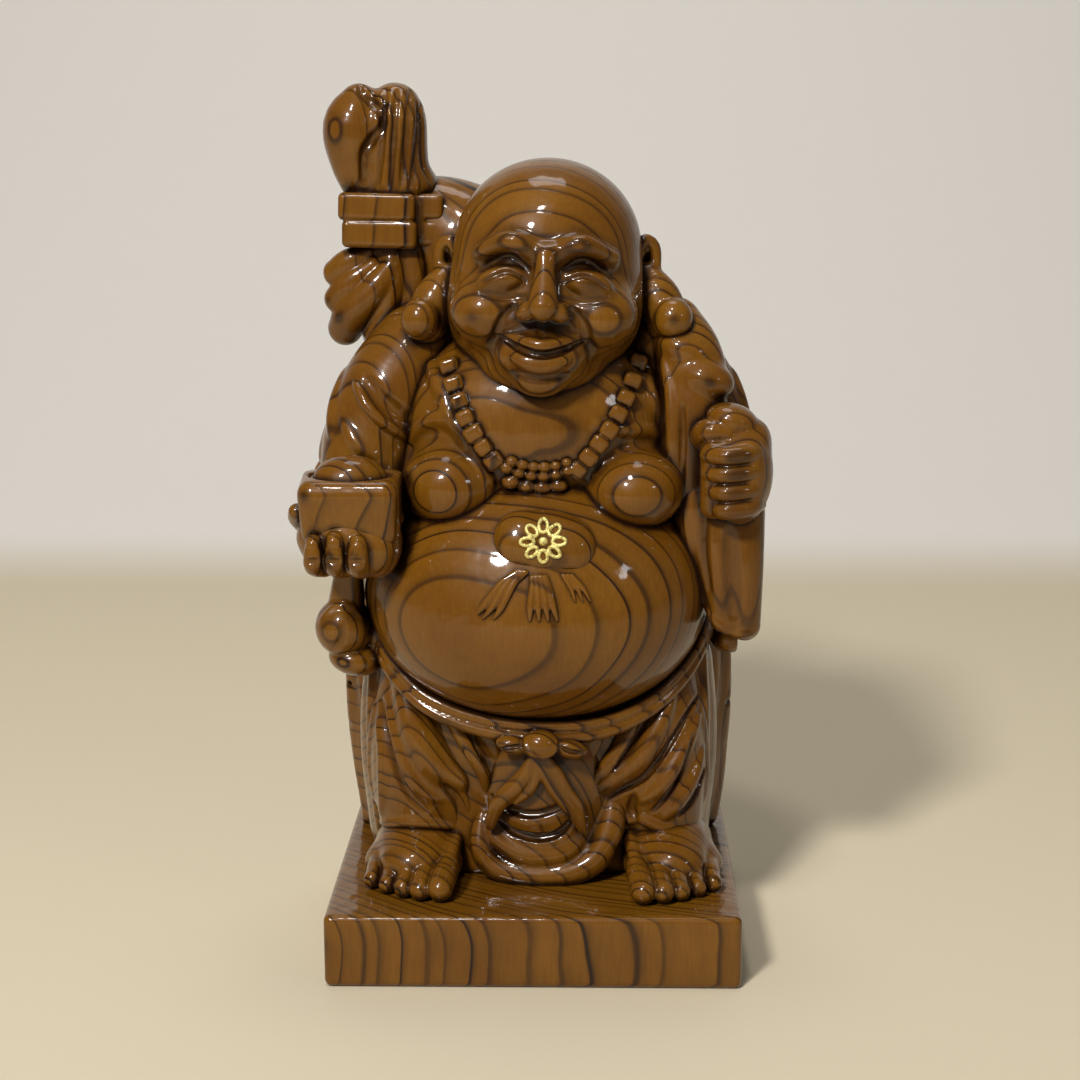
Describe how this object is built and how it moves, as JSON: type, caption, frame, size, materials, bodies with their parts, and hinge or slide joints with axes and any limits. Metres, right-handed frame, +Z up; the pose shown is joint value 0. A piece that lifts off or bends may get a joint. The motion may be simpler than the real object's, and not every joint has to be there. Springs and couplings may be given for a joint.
{
  "type": "carved wooden buddha statue",
  "caption": "Lacquered wood statue of a standing laughing monk with a round belly, a sack over one shoulder and an ingot in one hand, on a square plinth.",
  "frame": {"origin": "centre of the plinth's underside", "axes": "+Z up, -Y to the figure's front, +X to the figure's left"},
  "size_m": [0.1142, 0.088, 0.213],
  "materials": {
    "plinth_wood": "clear gloss lacquer over honey-brown wood with dark growth rings",
    "carved_wood": "clear gloss lacquer over carved honey-brown wood, stained darker in the recesses",
    "gilding": "pale gold paint, brushed on"
  },
  "bodies": {
    "root": {"plinth": "plinth_wood", "belly": "carved_wood", "chest": "carved_wood", "head": "carved_wood", "right_foot": "carved_wood", "left_foot": "carved_wood", "pendant": "carved_wood", "pendant_tassels": "carved_wood", "necklace": "carved_wood", "right_ear": "carved_wood", "left_ear": "carved_wood", "waistband": "carved_wood", "ingot": "carved_wood", "right_hand": "carved_wood", "left_hand": "carved_wood", "right_cuff": "carved_wood", "hanging_sleeve": "carved_wood", "shoulder_strap": "carved_wood", "left_drape": "carved_wood", "right_sleeve": "carved_wood", "left_sleeve": "carved_wood", "sash_knot": "carved_wood", "sash_tails": "carved_wood", "skirt_apron": "carved_wood", "right_trouser_leg": "carved_wood", "left_trouser_leg": "carved_wood", "sack_tie": "carved_wood", "sack_mouth": "carved_wood", "sack_gather": "carved_wood", "robe_body": "carved_wood", "sack_body": "carved_wood", "robe_tail": "carved_wood", "robe_skirt": "carved_wood", "gold_emblem": "gilding"}
  },
  "joints": []
}
